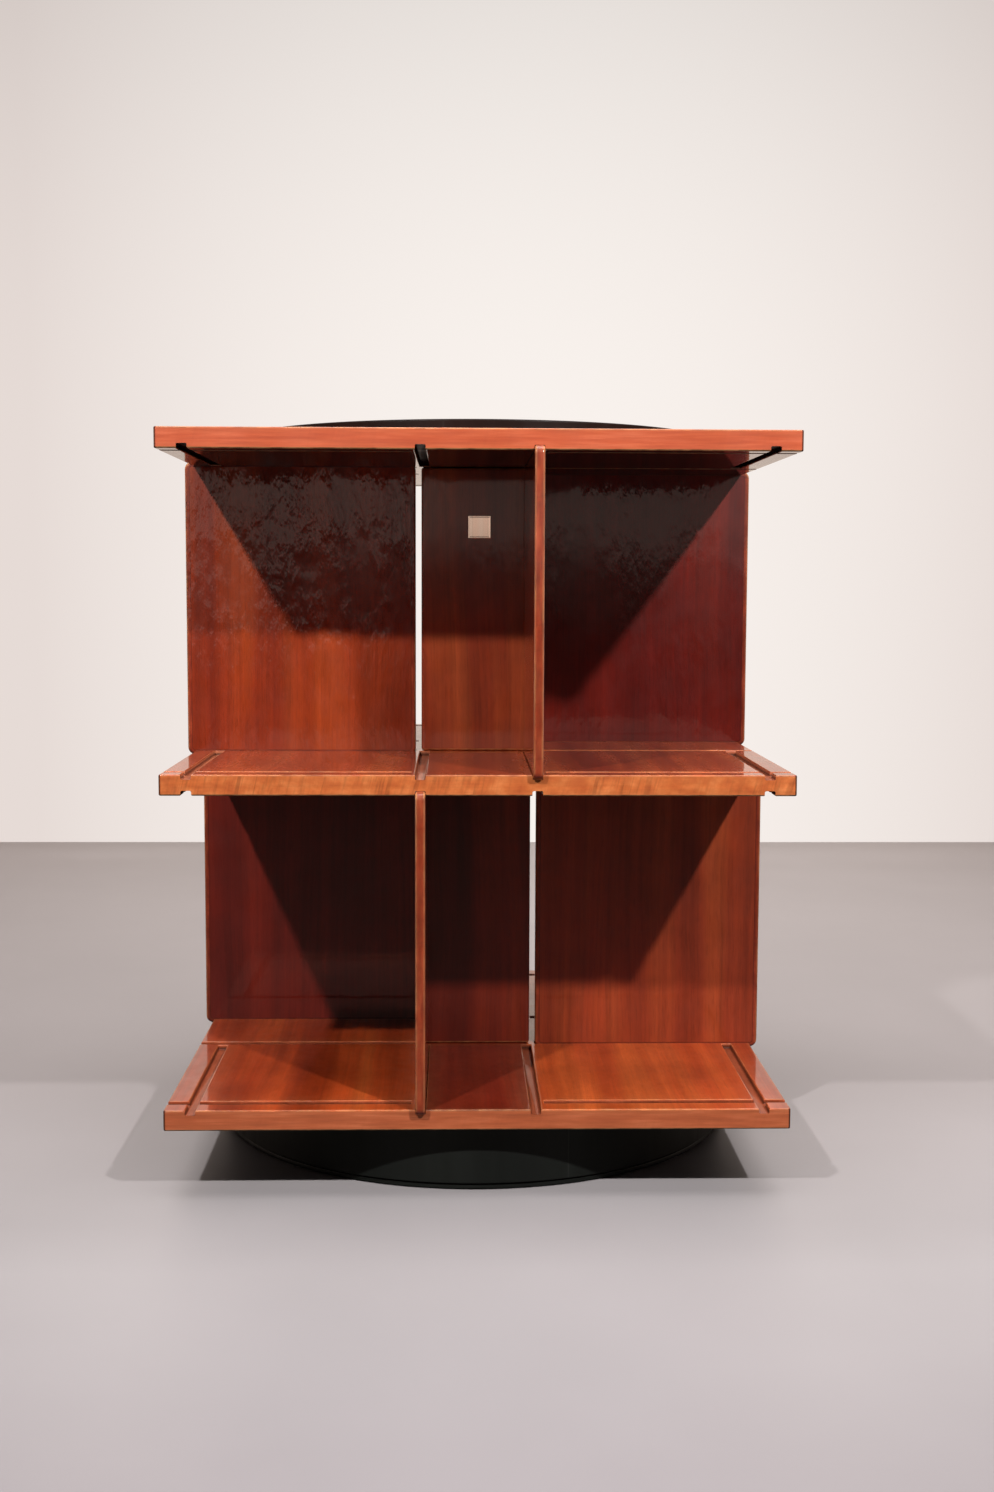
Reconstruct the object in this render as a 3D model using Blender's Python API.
"""Revolving square bookcase with stopped grooves and loose upright dividers.

Three grooved square boards are held apart by two hollow square columns and a
tie rod. Eight dividers stand in the grooves, four to a tier, each in line with
one face of the column, so that they turn round it like the sails of a mill.
The whole carcass turns on a ball race that is hidden in a round black drum.

Metres, +Z up. The origin is on the swivel axis at floor level, and the front
of the bookcase faces -Y.
"""
import math

import bmesh
import bpy
from mathutils import Matrix, Vector

# Boards and tiers
BOARD_SIDE = 0.750
BOARD_THICKNESS = 0.025
BOARD_CORNER = 0.003
BOARD_ARRIS = 0.0018
TIER_HEIGHT = 0.377

# Dividers
DIVIDER_THICKNESS = 0.012
DIVIDER_PROUD = 0.011
DIVIDER_CORNER = 0.010
DIVIDER_ARRIS = 0.003

# Stopped grooves, cut in from each side of a board
GROOVE_DEPTH = 0.006
GROOVE_CHAMFER = 0.0006
GROOVE_CORNER = 0.0018
EDGE_GROOVE_INSET = 0.032
COLUMN_SLIT = 0.0072
COLUMN_LEDGE = 0.0015

# Hollow square columns
COLUMN_SIDE = 0.147
COLUMN_WALL = 0.012
COLUMN_CORNER = 0.004
COLUMN_ARRIS = 0.003
BLOCK_HEIGHT = 0.020

# Round base drum
DRUM_HEIGHT = 0.085
DRUM_RADIUS = 0.346
DRUM_WALL = 0.012
DRUM_ARRIS = 0.0015
DRUM_TOP_THICKNESS = 0.018
BEARER_WIDTH = 0.080
FLOOR_PLATE_SETBACK = 0.003
FLOOR_PLATE_THICKNESS = 0.006
SKIRT_RUNNING_GAP = 0.0015
PAD_RADIUS = 0.012
PAD_THICKNESS = 0.003
PAD_PROUD = 0.001
PAD_INSET = 0.043
PAD_COUNT = 6

# Ball race
RACE_RADIUS = 0.150
RACE_THICKNESS = 0.003
RACE_HOLE = 0.020
BALL_RADIUS = 0.004
BALL_COUNT = 16
BALL_CIRCLE = 0.115
RACEWAY_DEPTH = 0.0012
CAGE_THICKNESS = 0.002
CAGE_RIM = 0.013
RIVET_WALL = 0.003
RIVET_FLANGE = 0.006
RIVET_FLANGE_THICKNESS = 0.0015
RIVET_CLEARANCE = 0.0005
FLANGE_CLEARANCE = 0.002
ACCESS_HOLE = 0.007

# Round top disc
DISC_RADIUS = 0.315
DISC_THICKNESS = 0.0157
DISC_ARRIS = 0.002
DOWEL_RADIUS = 0.004
DOWEL_LENGTH = 0.020
DOWEL_CIRCLE = 0.220
DOWEL_COUNT = 4
DOWEL_START_ANGLE = 45

# Tie rod, nuts and washers
ROD_RADIUS = 0.006
NUT_WIDTH = 0.019
NUT_HEIGHT = 0.010
WASHER_RADIUS = 0.0125
WASHER_THICKNESS = 0.0025
NUT_SIDES = 6
WRENCH_CLEARANCE = 0.005
ROD_END = 0.002

# Countersunk screws
SCREW_SHANK = 0.002
SCREW_HEAD = 0.004
SCREW_HEAD_HEIGHT = 0.002
RACE_SCREW_COUNT = 4
RACE_SCREW_CIRCLE = 0.138
LOWER_RACE_SCREW_LENGTH = 0.0065
UPPER_RACE_SCREW_LENGTH = 0.018

# Clearances
SEAT = 0.0003
SLIDE_CLEARANCE = 0.0003
CUT_OVERRUN = 0.010

# Facets
SEEN_ROUND_STEPS = 72
HIDDEN_ROUND_STEPS = 48
RACE_STEPS = 36
POCKET_STEPS = 20
SMALL_ROUND_STEPS = 12
BALL_STEPS = 8
BALL_RING_LATITUDE = 45
TRACK_SEGMENTS = 4
CORNER_SEGMENTS = 4
ARRIS_SEGMENTS = 2
NUT_FLAT_SEGMENTS = 2
SMOOTH_ANGLE = 50
CIRCLE_PROFILE = 0.5

# Levels, worked out from the floor up
BOARD_HALF = BOARD_SIDE / 2
FLOOR_PLATE_TOP = PAD_PROUD + FLOOR_PLATE_THICKNESS
LOWER_RACE_LOW = FLOOR_PLATE_TOP + SEAT
LOWER_RACE_TOP = LOWER_RACE_LOW + RACE_THICKNESS
BALL_CENTRE_Z = LOWER_RACE_TOP + BALL_RADIUS - RACEWAY_DEPTH
UPPER_RACE_LOW = 2 * BALL_CENTRE_Z - LOWER_RACE_TOP
UPPER_RACE_TOP = UPPER_RACE_LOW + RACE_THICKNESS
BEARER_LOW = UPPER_RACE_TOP + SEAT
BOTTOM_BOARD_LOW = DRUM_HEIGHT
DRUM_TOP_HIGH = DRUM_HEIGHT - SEAT
DRUM_TOP_LOW = DRUM_TOP_HIGH - DRUM_TOP_THICKNESS
BEARER_HIGH = DRUM_TOP_LOW - SEAT
LAP_LEVEL = (BEARER_LOW + BEARER_HIGH) / 2
SKIRT_LOW = FLOOR_PLATE_TOP + SKIRT_RUNNING_GAP
BOTTOM_BOARD_HIGH = BOTTOM_BOARD_LOW + BOARD_THICKNESS
MIDDLE_BOARD_LOW = BOTTOM_BOARD_HIGH + TIER_HEIGHT
MIDDLE_BOARD_HIGH = MIDDLE_BOARD_LOW + BOARD_THICKNESS
TOP_BOARD_LOW = MIDDLE_BOARD_HIGH + TIER_HEIGHT
TOP_BOARD_HIGH = TOP_BOARD_LOW + BOARD_THICKNESS
DISC_LOW = TOP_BOARD_HIGH + SEAT
DISC_HIGH = DISC_LOW + DISC_THICKNESS

# Widths that follow from the fits
COLUMN_HALF = COLUMN_SIDE / 2
GROOVE_WIDTH = DIVIDER_THICKNESS + 2 * SLIDE_CLEARANCE
GROOVE_LENGTH = BOARD_HALF - COLUMN_HALF - COLUMN_SLIT
CROSS_GROOVE_OFFSET = COLUMN_HALF + COLUMN_LEDGE - DIVIDER_THICKNESS / 2
DIVIDER_INNER = BOARD_HALF - GROOVE_LENGTH + SEAT
DIVIDER_OUTER = BOARD_HALF + DIVIDER_PROUD
EDGE_GROOVE_OFFSET = BOARD_HALF - EDGE_GROOVE_INSET
GROOVE_OFFSETS = (-EDGE_GROOVE_OFFSET, -CROSS_GROOVE_OFFSET, CROSS_GROOVE_OFFSET, EDGE_GROOVE_OFFSET)
BLOCK_HALF = COLUMN_HALF - COLUMN_WALL - SEAT
DRUM_INNER = DRUM_RADIUS - DRUM_WALL
DRUM_TOP_RADIUS = DRUM_INNER * math.cos(math.pi / SEEN_ROUND_STEPS) - SEAT
FLOOR_PLATE_RADIUS = DRUM_RADIUS - FLOOR_PLATE_SETBACK
PAD_CIRCLE = FLOOR_PLATE_RADIUS - PAD_INSET
BEARER_HALF_LENGTH = math.sqrt(DRUM_TOP_RADIUS ** 2 - (BEARER_WIDTH / 2) ** 2)
ROD_HOLE = ROD_RADIUS + SEAT
SCREW_HOLE = SCREW_SHANK + SEAT
DOWEL_HOLE = DOWEL_RADIUS + SEAT
RIVET_RADIUS = RACE_HOLE - RIVET_CLEARANCE
RIVET_FLANGE_RADIUS = RIVET_RADIUS + RIVET_FLANGE
LOWER_POCKET_RADIUS = RIVET_FLANGE_RADIUS + FLANGE_CLEARANCE
UPPER_POCKET_RADIUS = WASHER_RADIUS + WRENCH_CLEARANCE
NUT_STACK = WASHER_THICKNESS + NUT_HEIGHT + 2 * SEAT
LOWER_POCKET_TOP = BEARER_LOW + NUT_STACK + ROD_END + 2 * RIVET_FLANGE_THICKNESS
UPPER_POCKET_LOW = TOP_BOARD_HIGH - NUT_STACK - ROD_END

TIERS = (
    ("lower", -1, BOTTOM_BOARD_HIGH, MIDDLE_BOARD_LOW),
    ("upper", 1, MIDDLE_BOARD_HIGH, TOP_BOARD_LOW),
)
SIDES = ("front", "right", "back", "left")

# Name: sRGB colour, roughness, metallic
FINISHES = {
    "board_wood": ((0.56, 0.24, 0.11), 0.28, 0.0),
    "divider_wood": ((0.47, 0.18, 0.09), 0.30, 0.0),
    "column_wood": ((0.43, 0.16, 0.08), 0.30, 0.0),
    "inner_wood": ((0.72, 0.58, 0.40), 0.70, 0.0),
    "black_lacquer": ((0.05, 0.05, 0.05), 0.35, 0.0),
    "zinc_steel": ((0.66, 0.66, 0.64), 0.35, 1.0),
    "cage_plastic": ((0.82, 0.80, 0.74), 0.50, 0.0),
    "felt": ((0.16, 0.15, 0.14), 0.95, 0.0),
}


def to_linear(channel):
    """The sRGB curve, undone for one channel."""
    if channel <= 0.04045:
        return channel / 12.92
    return ((channel + 0.055) / 1.055) ** 2.4


def clear_scene():
    for old in list(bpy.data.objects):
        bpy.data.objects.remove(old, do_unlink=True)


def finish_material(node_name, finish):
    """A material of this node's own, in the colour of its finish."""
    colour, roughness, metallic = FINISHES[finish]
    material = bpy.data.materials.new(node_name + "_" + finish)
    material.use_nodes = True
    shader = material.node_tree.nodes["Principled BSDF"]
    shader.inputs["Base Color"].default_value = tuple(to_linear(c) for c in colour) + (1.0,)
    shader.inputs["Roughness"].default_value = roughness
    shader.inputs["Metallic"].default_value = metallic
    return material


def add_object(name, bm, finish=None, smooth=False):
    """Turns a bmesh into an object; one without a finish is a cutter."""
    bmesh.ops.recalc_face_normals(bm, faces=bm.faces[:])
    mesh = bpy.data.meshes.new(name)
    bm.to_mesh(mesh)
    bm.free()
    made = bpy.data.objects.new(name, mesh)
    bpy.context.scene.collection.objects.link(made)
    if finish is None:
        made.hide_render = True
        made.display_type = "WIRE"
        return made
    mesh.materials.append(finish_material(name, finish))
    if smooth:
        mesh.shade_smooth()
        mesh.set_sharp_from_angle(angle=math.radians(SMOOTH_ANGLE))
    return made


def cut(target, cutter):
    """Takes the cutter's shape out of the target."""
    boolean = target.modifiers.new("cut_" + cutter.name, "BOOLEAN")
    boolean.operation = "DIFFERENCE"
    boolean.solver = "EXACT"
    boolean.object = cutter


def extrude_outline(bm, outline, low, high):
    """Adds a closed prism with the given outline between two levels."""
    ring = [bm.verts.new((x, y, low)) for x, y in outline]
    face = bm.faces.new(ring)
    grown = bmesh.ops.extrude_face_region(bm, geom=[face])
    lifted = [item for item in grown["geom"] if isinstance(item, bmesh.types.BMVert)]
    bmesh.ops.translate(bm, verts=lifted, vec=(0, 0, high - low))


def add_box(bm, half_x, half_y, low, high):
    """Adds an upright block that is centred on the swivel axis."""
    outline = [(-half_x, -half_y), (half_x, -half_y), (half_x, half_y), (-half_x, half_y)]
    extrude_outline(bm, outline, low, high)


def quarter_turn(bm, count):
    """Turns all that has been drawn so far about the swivel axis."""
    turn = Matrix.Rotation(math.radians(90 * count), 3, "Z")
    bmesh.ops.rotate(bm, verts=bm.verts[:], cent=(0, 0, 0), matrix=turn)


def add_cylinder(bm, centre, radius, low, high, steps=SMALL_ROUND_STEPS):
    """Adds a closed upright prism of regular section."""
    outline = []
    for step in range(steps):
        angle = 2 * math.pi * step / steps
        outline.append((centre[0] + radius * math.cos(angle), centre[1] + radius * math.sin(angle)))
    extrude_outline(bm, outline, low, high)


def add_turned(bm, profile, steps):
    """Spins a closed profile of (radius, height) points about the swivel axis."""
    ring = [bm.verts.new((radius, 0, height)) for radius, height in profile]
    edges = [bm.edges.new((ring[i], ring[(i + 1) % len(ring)])) for i in range(len(ring))]
    bmesh.ops.spin(bm, geom=ring + edges, cent=(0, 0, 0), axis=(0, 0, 1), angle=2 * math.pi,
                   steps=steps, use_merge=True, use_duplicate=False)


def arc_points(centre, radius, start, end, steps):
    """Points along an arc, from one angle to another in degrees."""
    points = []
    for step in range(steps + 1):
        angle = math.radians(start + (end - start) * step / steps)
        points.append((centre[0] + radius * math.cos(angle), centre[1] + radius * math.sin(angle)))
    return points


def ring_positions(count, radius, start_degrees):
    """Places evenly round the swivel axis."""
    places = []
    for step in range(count):
        angle = math.radians(start_degrees + 360 * step / count)
        places.append((radius * math.cos(angle), radius * math.sin(angle)))
    return places


def turned_disc_profile(inner, outer, low, high, arris):
    """A flat ring's section, with both outer edges eased."""
    return [
        (inner, low),
        (outer - arris, low),
        (outer, low + arris),
        (outer, high - arris),
        (outer - arris, high),
        (inner, high),
    ]


def round_edges(bm, edges, radius, segments=ARRIS_SEGMENTS):
    """Rounds the given edges with a quarter of a circle."""
    bmesh.ops.bevel(bm, geom=edges, offset=radius, segments=segments, profile=CIRCLE_PROFILE, affect="EDGES")


def make_board(name, low, high):
    """A square board with small rounded corners and edges."""
    bm = bmesh.new()
    add_box(bm, BOARD_HALF, BOARD_HALF, low, high)
    upright = [e for e in bm.edges if abs(e.verts[0].co.z - e.verts[1].co.z) > BOARD_ARRIS]
    round_edges(bm, upright, BOARD_CORNER)
    rim = [e for e in bm.edges if abs(e.verts[0].co.z - e.verts[1].co.z) < BOARD_ARRIS]
    round_edges(bm, rim, BOARD_ARRIS)
    return add_object(name, bm, "board_wood", smooth=True)


def add_groove(bm, offset, turn, face_level, way):
    """Adds one groove cutter, in from the front, then turned: a slot with eased lips and floor corners."""
    half = GROOVE_WIDTH / 2
    lip = half + GROOVE_CHAMFER
    overrun = BOARD_ARRIS
    section = [
        (-half, -GROOVE_DEPTH + GROOVE_CORNER),
        (-half + GROOVE_CORNER, -GROOVE_DEPTH),
        (half - GROOVE_CORNER, -GROOVE_DEPTH),
        (half, -GROOVE_DEPTH + GROOVE_CORNER),
        (half, -GROOVE_CHAMFER),
        (lip, 0.0),
        (lip + overrun, overrun),
        (-lip - overrun, overrun),
        (-lip, 0.0),
        (-half, -GROOVE_CHAMFER),
    ]
    start = -BOARD_HALF - CUT_OVERRUN
    ring = [bm.verts.new((offset + x, start, face_level + way * z)) for x, z in section]
    face = bm.faces.new(ring)
    grown = bmesh.ops.extrude_face_region(bm, geom=[face])
    far = [item for item in grown["geom"] if isinstance(item, bmesh.types.BMVert)]
    bmesh.ops.translate(bm, verts=far, vec=(0, GROOVE_LENGTH + CUT_OVERRUN, 0))
    spun = Matrix.Rotation(math.radians(turn), 3, "Z")
    bmesh.ops.rotate(bm, verts=ring + far, cent=(0, 0, 0), matrix=spun)


def groove_face(board, face_level, way):
    """Cuts the sixteen stopped grooves of one face, the two directions one after the other."""
    side_name = "upper" if way > 0 else "lower"
    for direction, turns in (("fore_aft", (0, 180)), ("across", (90, 270))):
        bm = bmesh.new()
        for turn in turns:
            for offset in GROOVE_OFFSETS:
                add_groove(bm, offset, turn, face_level, way)
        cut(board, add_object("cutter_" + board.name + "_" + side_name + "_" + direction, bm))


def drill(targets, name, places, radius, low, high, steps=SMALL_ROUND_STEPS):
    """Cuts straight holes through one or more pieces."""
    bm = bmesh.new()
    for place in places:
        add_cylinder(bm, place, radius, low, high, steps)
    cutter = add_object("cutter_" + name, bm)
    for target in targets:
        cut(target, cutter)


def add_screw(bm, place, head_level, length, way):
    """A countersunk screw; way is -1 where it points down and 1 where it points up."""
    profile = [
        (0.0, 0.0),
        (SCREW_HEAD, 0.0),
        (SCREW_SHANK, SCREW_HEAD_HEIGHT),
        (SCREW_SHANK, length - SCREW_SHANK),
        (0.0, length),
    ]
    add_lathe_solid(bm, [(radius, head_level + way * depth) for radius, depth in profile], place)


def add_lathe_solid(bm, profile, place, steps=SMALL_ROUND_STEPS):
    """Spins an open profile whose two ends lie on the axis."""
    rings = []
    for radius, height in profile:
        if radius == 0.0:
            rings.append([bm.verts.new((place[0], place[1], height))])
            continue
        ring = []
        for step in range(steps):
            angle = 2 * math.pi * step / steps
            ring.append(bm.verts.new((place[0] + radius * math.cos(angle),
                                      place[1] + radius * math.sin(angle), height)))
        rings.append(ring)
    for lower, upper in zip(rings, rings[1:]):
        for step in range(steps):
            following = (step + 1) % steps
            corners = [lower[step % len(lower)], lower[following % len(lower)],
                       upper[following % len(upper)], upper[step % len(upper)]]
            bm.faces.new(list(dict.fromkeys(corners)))


def make_screws(name, places, head_level, length, way):
    for number, place in enumerate(places, 1):
        bm = bmesh.new()
        add_screw(bm, place, head_level, length, way)
        add_object(f"{name}_{number}", bm, "zinc_steel", smooth=True)


def screw_holes(targets, name, places, head_level, length, way):
    """Holes that clear a set of screws, countersunk at the head."""
    profile = [
        (0.0, -CUT_OVERRUN),
        (SCREW_HEAD + SEAT, -CUT_OVERRUN),
        (SCREW_HEAD + SEAT, 0.0),
        (SCREW_HOLE, SCREW_HEAD_HEIGHT),
        (SCREW_HOLE, length),
        (0.0, length + SEAT),
    ]
    bm = bmesh.new()
    for place in places:
        add_lathe_solid(bm, [(radius, head_level + way * depth) for radius, depth in profile], place)
    cutter = add_object("cutter_" + name, bm)
    for target in targets:
        cut(target, cutter)


def make_floor_parts():
    """The floor plate on its felt pads, and the fixed half of the ball race."""
    bm = bmesh.new()
    radii = (LOWER_POCKET_RADIUS, FLOOR_PLATE_RADIUS)
    add_turned(bm, turned_disc_profile(*radii, PAD_PROUD, FLOOR_PLATE_TOP, DRUM_ARRIS), HIDDEN_ROUND_STEPS)
    plate = add_object("floor_plate", bm, "black_lacquer", smooth=True)

    places = ring_positions(PAD_COUNT, PAD_CIRCLE, 0)
    for number, place in enumerate(places, 1):
        pad = bmesh.new()
        add_cylinder(pad, place, PAD_RADIUS, 0.0, PAD_THICKNESS)
        add_object(f"felt_pad_{number}", pad, "felt", smooth=True)
    drill([plate], "pad_recesses", places, PAD_RADIUS + SEAT, -CUT_OVERRUN, PAD_THICKNESS + SEAT)

    screws = ring_positions(RACE_SCREW_COUNT, RACE_SCREW_CIRCLE, 180 / RACE_SCREW_COUNT)
    race = make_race("lower_race", LOWER_RACE_LOW, LOWER_RACE_TOP, 1)
    screw_holes([race, plate], "lower_race_screws", screws, LOWER_RACE_TOP, LOWER_RACE_SCREW_LENGTH, -1)
    make_screws("lower_race_screw", screws, LOWER_RACE_TOP, LOWER_RACE_SCREW_LENGTH, -1)
    # A driver goes up through this hole to each screw of the upper race in turn
    drill([race, plate], "access_hole", ring_positions(1, RACE_SCREW_CIRCLE, 0), ACCESS_HOLE,
          -CUT_OVERRUN, LOWER_RACE_TOP + CUT_OVERRUN)


def make_race(name, low, high, way):
    """A pressed round plate with a rolled ball track; way is 1 where the track faces up."""
    face, back = (high, low) if way > 0 else (low, high)
    track_radius = BALL_RADIUS + SEAT
    drop = track_radius - (RACEWAY_DEPTH + SEAT)
    reach = math.degrees(math.acos(drop / track_radius))
    track = []
    arc = arc_points((BALL_CIRCLE, 0), track_radius, -90 - reach, -90 + reach, TRACK_SEGMENTS)
    for radius, height in arc:
        track.append((radius, face + way * (height + drop)))
    profile = [(RACE_HOLE, face)] + track + [(RACE_RADIUS, face), (RACE_RADIUS, back), (RACE_HOLE, back)]
    bm = bmesh.new()
    add_turned(bm, profile, RACE_STEPS)
    return add_object(name, bm, "zinc_steel", smooth=True)


def make_ball_parts():
    """The cage with the balls snapped into it, and the hollow rivet that keeps the race together."""
    bm = bmesh.new()
    low = BALL_CENTRE_Z - CAGE_THICKNESS / 2
    high = BALL_CENTRE_Z + CAGE_THICKNESS / 2
    rim = BALL_CIRCLE + CAGE_RIM
    profile = [(RACE_HOLE, low), (rim, low), (rim, high), (RACE_HOLE, high)]
    add_turned(bm, profile, RACE_STEPS)
    cage = add_object("ball_cage", bm, "cage_plastic", smooth=True)
    balls = bmesh.new()
    half_circle = [(0.0, BALL_CENTRE_Z - BALL_RADIUS)]
    half_circle += arc_points((0, BALL_CENTRE_Z), BALL_RADIUS, -BALL_RING_LATITUDE, BALL_RING_LATITUDE, 2)
    half_circle += [(0.0, BALL_CENTRE_Z + BALL_RADIUS)]
    for place in ring_positions(BALL_COUNT, BALL_CIRCLE, 0):
        add_lathe_solid(balls, half_circle, place, BALL_STEPS)
    snapped = cage.modifiers.new("snapped_in_balls", "BOOLEAN")
    snapped.operation = "UNION"
    snapped.solver = "EXACT"
    snapped.object = add_object("tool_balls", balls)

    bore = RIVET_RADIUS - RIVET_WALL
    foot_high = LOWER_RACE_LOW - SEAT
    foot_low = foot_high - RIVET_FLANGE_THICKNESS
    head_low = UPPER_RACE_TOP + SEAT
    head_high = head_low + RIVET_FLANGE_THICKNESS
    profile = [
        (bore, foot_low),
        (RIVET_FLANGE_RADIUS, foot_low),
        (RIVET_FLANGE_RADIUS, foot_high),
        (RIVET_RADIUS, foot_high),
        (RIVET_RADIUS, head_low),
        (RIVET_FLANGE_RADIUS, head_low),
        (RIVET_FLANGE_RADIUS, head_high),
        (bore, head_high),
    ]
    rivet = bmesh.new()
    add_turned(rivet, profile, POCKET_STEPS)
    add_object("centre_rivet", rivet, "zinc_steel", smooth=True)


def make_bearer(name, turns, lap_low, lap_high):
    """One of two crossed bearers, halved into each other at the middle."""
    bm = bmesh.new()
    add_box(bm, BEARER_HALF_LENGTH, BEARER_WIDTH / 2, BEARER_LOW, BEARER_HIGH)
    quarter_turn(bm, turns)
    bearer = add_object(name, bm, "inner_wood")
    lap = bmesh.new()
    add_box(lap, BEARER_WIDTH / 2 + SEAT, BEARER_WIDTH, lap_low, lap_high)
    quarter_turn(lap, turns)
    cut(bearer, add_object("cutter_" + name + "_lap", lap))
    return bearer


def make_drum_parts():
    """The turning half of the base: upper race, crossed bearers, drum top and skirt."""
    race = make_race("upper_race", UPPER_RACE_LOW, UPPER_RACE_TOP, -1)
    across = make_bearer("bearer_across", 0, LAP_LEVEL - SEAT / 2, BEARER_HIGH + CUT_OVERRUN)
    fore_aft = make_bearer("bearer_fore_aft", 1, BEARER_LOW - CUT_OVERRUN, LAP_LEVEL + SEAT / 2)
    race_screws = ring_positions(RACE_SCREW_COUNT, RACE_SCREW_CIRCLE, 0)
    screw_holes([race, across, fore_aft], "upper_race_screws", race_screws, UPPER_RACE_LOW,
                UPPER_RACE_SCREW_LENGTH, 1)
    make_screws("upper_race_screw", race_screws, UPPER_RACE_LOW, UPPER_RACE_SCREW_LENGTH, 1)

    bm = bmesh.new()
    profile = [(ROD_HOLE, DRUM_TOP_LOW), (DRUM_TOP_RADIUS, DRUM_TOP_LOW),
               (DRUM_TOP_RADIUS, DRUM_TOP_HIGH), (ROD_HOLE, DRUM_TOP_HIGH)]
    add_turned(bm, profile, HIDDEN_ROUND_STEPS)
    add_object("drum_top", bm, "inner_wood", smooth=True)

    bm = bmesh.new()
    profile = turned_disc_profile(DRUM_INNER, DRUM_RADIUS, SKIRT_LOW, DRUM_TOP_HIGH, DRUM_ARRIS)
    add_turned(bm, profile, SEEN_ROUND_STEPS)
    add_object("drum_skirt", bm, "black_lacquer", smooth=True)

    drill([across, fore_aft], "lower_nut_pocket", [(0, 0)], LOWER_POCKET_RADIUS, BEARER_LOW - CUT_OVERRUN,
          LOWER_POCKET_TOP, POCKET_STEPS)
    return across, fore_aft


def make_column_wall(tier, side_index, low, high):
    """One mitred wall of a column, with its share of the rounded corners."""
    inset = COLUMN_HALF - COLUMN_CORNER
    mitre = SEAT / 2 * math.sqrt(2)
    right = arc_points((inset, -inset), COLUMN_CORNER, -90, -45, ARRIS_SEGMENTS)
    outline = [(-x, y) for x, y in reversed(right)] + right
    inner = COLUMN_HALF - COLUMN_WALL
    outline += [(inner, -inner), (-inner, -inner)]
    trimmed = []
    for x, y in outline:
        reach = -y - mitre
        trimmed.append((max(-reach, min(reach, x)), y))
    bm = bmesh.new()
    extrude_outline(bm, trimmed, low + SEAT, high - SEAT)
    outer_edges = []
    for edge in bm.edges:
        level = abs(edge.verts[0].co.z - edge.verts[1].co.z) < SEAT
        if level and max(v.co.y for v in edge.verts) < -inner - COLUMN_WALL / 2:
            outer_edges.append(edge)
    round_edges(bm, outer_edges, COLUMN_ARRIS)
    quarter_turn(bm, side_index)
    add_object(tier + "_column_" + SIDES[side_index], bm, "column_wood", smooth=True)


def make_block(name, low, high):
    """A square block that locates a column on a board, inside the column."""
    bm = bmesh.new()
    add_box(bm, BLOCK_HALF, BLOCK_HALF, low, high)
    return add_object(name, bm, "inner_wood")


def make_columns():
    """Both columns, and the blocks inside them that the tie rod clamps to the boards."""
    blocks = []
    for tier, _, low, high in TIERS:
        for side_index in range(len(SIDES)):
            make_column_wall(tier, side_index, low, high)
        blocks.append(make_block(tier + "_foot_block", low + SEAT, low + SEAT + BLOCK_HEIGHT))
        blocks.append(make_block(tier + "_head_block", high - SEAT - BLOCK_HEIGHT, high - SEAT))
    return blocks


def make_divider(tier, sense, side_index, low, high):
    """A loose divider, standing in the grooves above and below it."""
    z_low = low - GROOVE_DEPTH + SEAT
    z_high = high + GROOVE_DEPTH - SEAT
    length = DIVIDER_OUTER - DIVIDER_INNER
    bm = bmesh.new()
    bmesh.ops.create_cube(bm, size=1.0)
    bmesh.ops.scale(bm, vec=(DIVIDER_THICKNESS, length, z_high - z_low), verts=bm.verts)
    across = [e for e in bm.edges if abs(e.verts[0].co.x - e.verts[1].co.x) > DIVIDER_THICKNESS / 2]
    round_edges(bm, across, DIVIDER_CORNER, CORNER_SEGMENTS)
    rim = [e for e in bm.edges if abs(e.verts[0].co.x - e.verts[1].co.x) < DIVIDER_THICKNESS / 2]
    round_edges(bm, rim, DIVIDER_ARRIS)
    centre = Vector((sense * CROSS_GROOVE_OFFSET, -(DIVIDER_OUTER + DIVIDER_INNER) / 2, (z_low + z_high) / 2))
    made = add_object(tier + "_" + SIDES[side_index] + "_divider", bm, "divider_wood", smooth=True)
    turn = Matrix.Rotation(math.radians(90 * side_index), 4, "Z")
    made.location = turn @ centre
    made.rotation_euler = (0, 0, math.radians(90 * side_index))


def make_rod_parts(pierced):
    """The tie rod through the middle, with a nut and a washer in a pocket at each end."""
    low = LOWER_POCKET_TOP - SEAT - WASHER_THICKNESS - SEAT - NUT_HEIGHT - ROD_END
    high = TOP_BOARD_HIGH - SEAT
    rod = bmesh.new()
    add_cylinder(rod, (0, 0), ROD_RADIUS, low, high)
    add_object("tie_rod", rod, "zinc_steel", smooth=True)
    drill(pierced, "rod_hole", [(0, 0)], ROD_HOLE, BEARER_LOW, TOP_BOARD_HIGH + CUT_OVERRUN)

    lower_washer = LOWER_POCKET_TOP - SEAT - WASHER_THICKNESS
    upper_washer = UPPER_POCKET_LOW + SEAT
    make_washer("lower_rod_washer", lower_washer)
    make_washer("upper_rod_washer", upper_washer)
    make_nut("lower_rod_nut", lower_washer - SEAT - NUT_HEIGHT)
    make_nut("upper_rod_nut", upper_washer + WASHER_THICKNESS + SEAT)


def make_washer(name, level):
    """A flat ring round the tie rod."""
    section = [(ROD_HOLE, level), (WASHER_RADIUS, level),
               (WASHER_RADIUS, level + WASHER_THICKNESS), (ROD_HOLE, level + WASHER_THICKNESS)]
    bm = bmesh.new()
    add_turned(bm, section, SMALL_ROUND_STEPS)
    add_object(name, bm, "zinc_steel", smooth=True)


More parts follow.
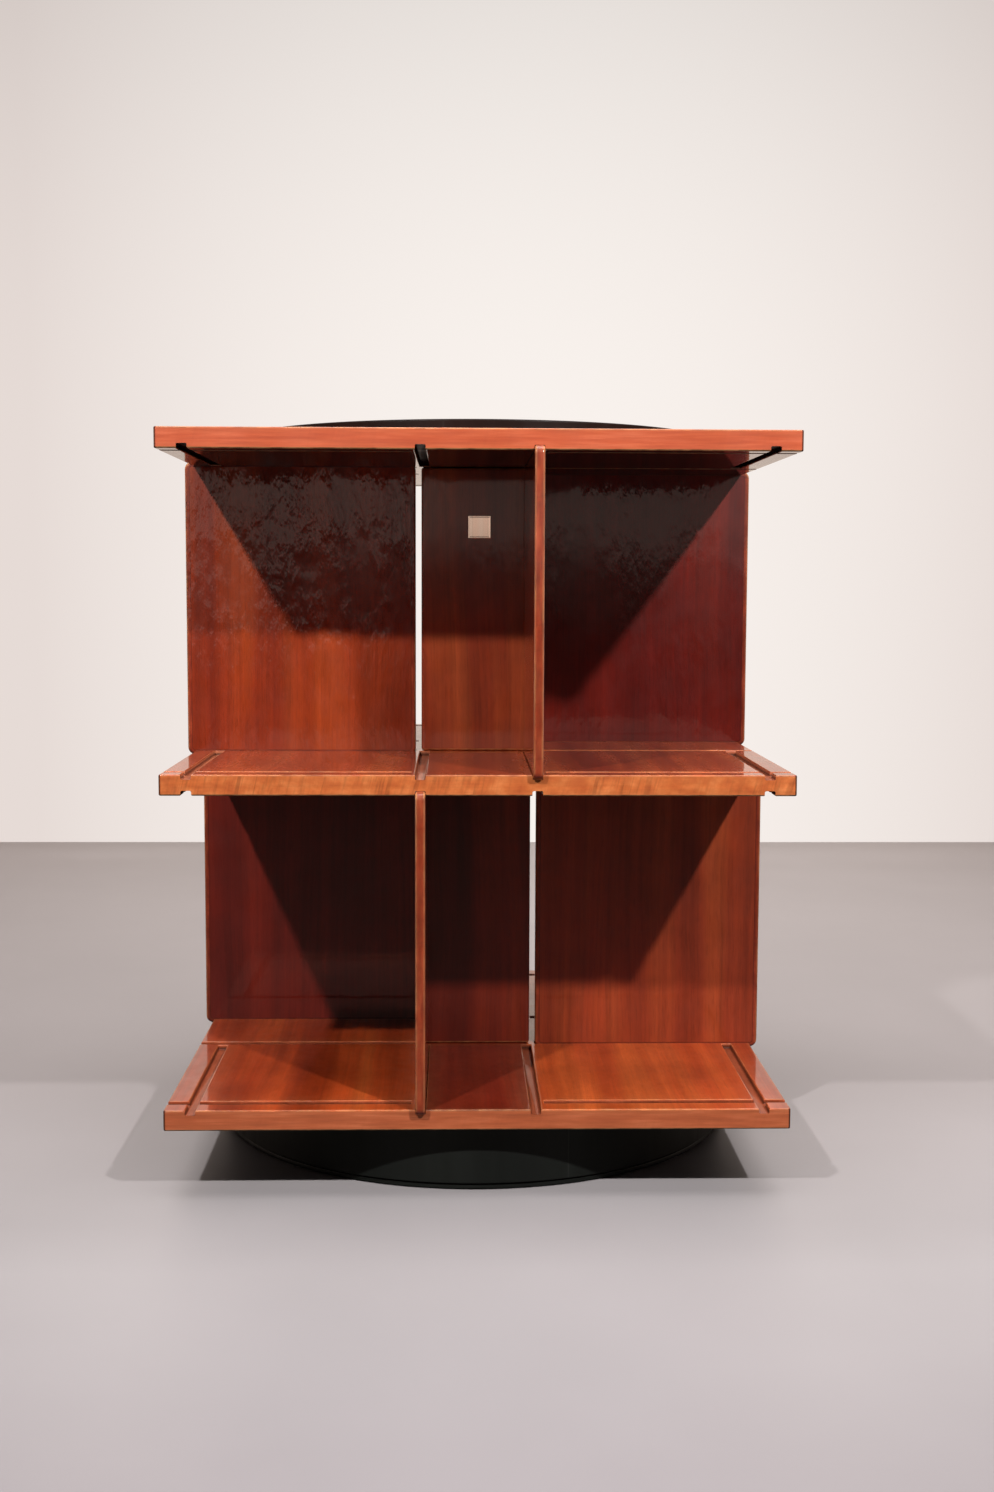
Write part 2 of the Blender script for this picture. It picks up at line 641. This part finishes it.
def make_nut(name, level):
    """A hexagon nut with a round bore, closed from an outer and an inner wall."""
    bm = bmesh.new()
    count = NUT_SIDES * NUT_FLAT_SEGMENTS
    corner = NUT_WIDTH / math.sqrt(3)
    outer = []
    inner = []
    for step in range(count):
        angle = 2 * math.pi * step / count
        reach = corner if step % NUT_FLAT_SEGMENTS == 0 else NUT_WIDTH / 2
        outer.append((reach * math.cos(angle), reach * math.sin(angle)))
        inner.append((ROD_HOLE * math.cos(angle), ROD_HOLE * math.sin(angle)))
    rings = []
    top = level + NUT_HEIGHT
    for points, height in ((outer, level), (outer, top), (inner, top), (inner, level)):
        rings.append([bm.verts.new((x, y, height)) for x, y in points])
    for index in range(len(rings)):
        lower, upper = rings[index], rings[(index + 1) % len(rings)]
        for step in range(count):
            following = (step + 1) % count
            bm.faces.new((lower[step], lower[following], upper[following], upper[step]))
    add_object(name, bm, "zinc_steel", smooth=True)


def make_top_disc(top_board):
    """The round disc on the top board, and the dowels that hold it."""
    bm = bmesh.new()
    rim = arc_points((DISC_RADIUS - DISC_ARRIS, DISC_HIGH - DISC_ARRIS), DISC_ARRIS, 0, 90, ARRIS_SEGMENTS)
    profile = [(0.0, DISC_LOW), (DISC_RADIUS, DISC_LOW)] + rim + [(0.0, DISC_HIGH)]
    add_lathe_solid(bm, profile, (0, 0), SEEN_ROUND_STEPS)
    disc = add_object("top_disc", bm, "black_lacquer", smooth=True)
    places = ring_positions(DOWEL_COUNT, DOWEL_CIRCLE, DOWEL_START_ANGLE)
    low = TOP_BOARD_HIGH - DOWEL_LENGTH / 2
    high = TOP_BOARD_HIGH + DOWEL_LENGTH / 2
    for number, place in enumerate(places, 1):
        dowel = bmesh.new()
        add_cylinder(dowel, place, DOWEL_RADIUS, low, high)
        add_object(f"disc_dowel_{number}", dowel, "inner_wood", smooth=True)
    drill([disc, top_board], "dowel_holes", places, DOWEL_HOLE, low - SEAT, high + SEAT)
    drill([top_board], "upper_nut_pocket", [(0, 0)], UPPER_POCKET_RADIUS, UPPER_POCKET_LOW,
          TOP_BOARD_HIGH + CUT_OVERRUN, POCKET_STEPS)


def main():
    clear_scene()
    bottom = make_board("bottom_board", BOTTOM_BOARD_LOW, BOTTOM_BOARD_HIGH)
    middle = make_board("middle_board", MIDDLE_BOARD_LOW, MIDDLE_BOARD_HIGH)
    top = make_board("top_board", TOP_BOARD_LOW, TOP_BOARD_HIGH)
    groove_face(bottom, BOTTOM_BOARD_HIGH, 1)
    groove_face(middle, MIDDLE_BOARD_LOW, -1)
    groove_face(middle, MIDDLE_BOARD_HIGH, 1)
    groove_face(top, TOP_BOARD_LOW, -1)

    make_floor_parts()
    make_ball_parts()
    across, fore_aft = make_drum_parts()
    blocks = make_columns()
    for tier, sense, low, high in TIERS:
        for side_index in range(len(SIDES)):
            make_divider(tier, sense, side_index, low, high)
    make_top_disc(top)
    make_rod_parts([across, fore_aft, bottom, middle, top] + blocks)


main()
